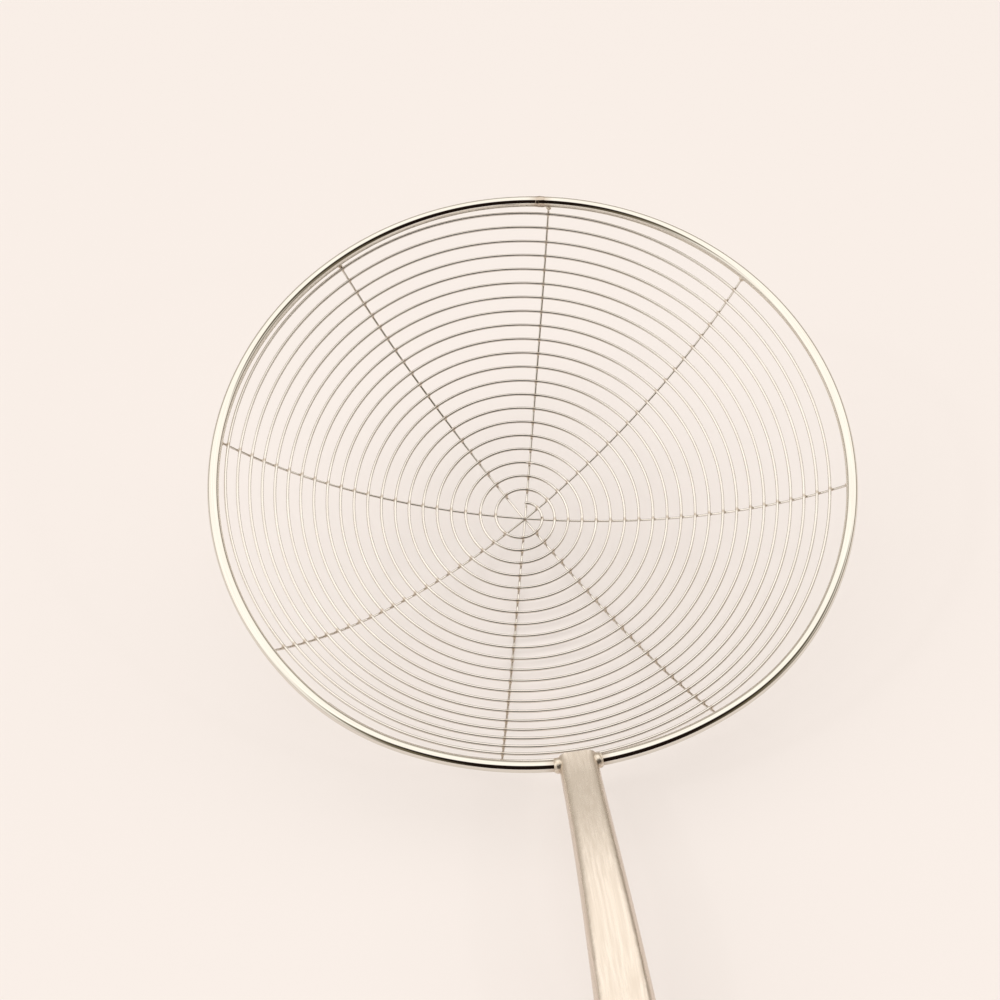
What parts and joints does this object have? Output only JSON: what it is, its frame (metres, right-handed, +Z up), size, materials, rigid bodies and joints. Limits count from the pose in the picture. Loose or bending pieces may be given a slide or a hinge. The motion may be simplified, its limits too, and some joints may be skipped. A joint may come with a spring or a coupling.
{
  "type": "spider skimmer",
  "caption": "Shallow round skimmer basket of spirally wound wire on crossed ribs in a heavy round rim, with a cranked hollow handle and a hanging hole.",
  "frame": {"origin": "middle of the object's footprint, on the table that it lies on", "axes": "+Z up from the table; -Y along the handle towards its tip, +Y towards the basket; +X to the right as seen from the handle"},
  "size_m": [0.2, 0.4304, 0.0904],
  "materials": {
    "polished_rod": "polished round stainless rod",
    "drawn_wire": "bright drawn stainless wire",
    "satin_tube": "satin stainless tube",
    "weld_metal": "bright cleaned weld"
  },
  "bodies": {
    "root": {"handle_tube": "satin_tube", "handle_weld_left": "weld_metal", "handle_weld_right": "weld_metal", "rib_end_welds": "weld_metal", "rib_wire_1": "drawn_wire", "rib_wire_2": "drawn_wire", "rib_wire_3": "drawn_wire", "rib_wire_4": "drawn_wire", "rim_ring": "polished_rod", "rim_seam_weld": "weld_metal", "spiral_wire": "drawn_wire"}
  },
  "joints": []
}
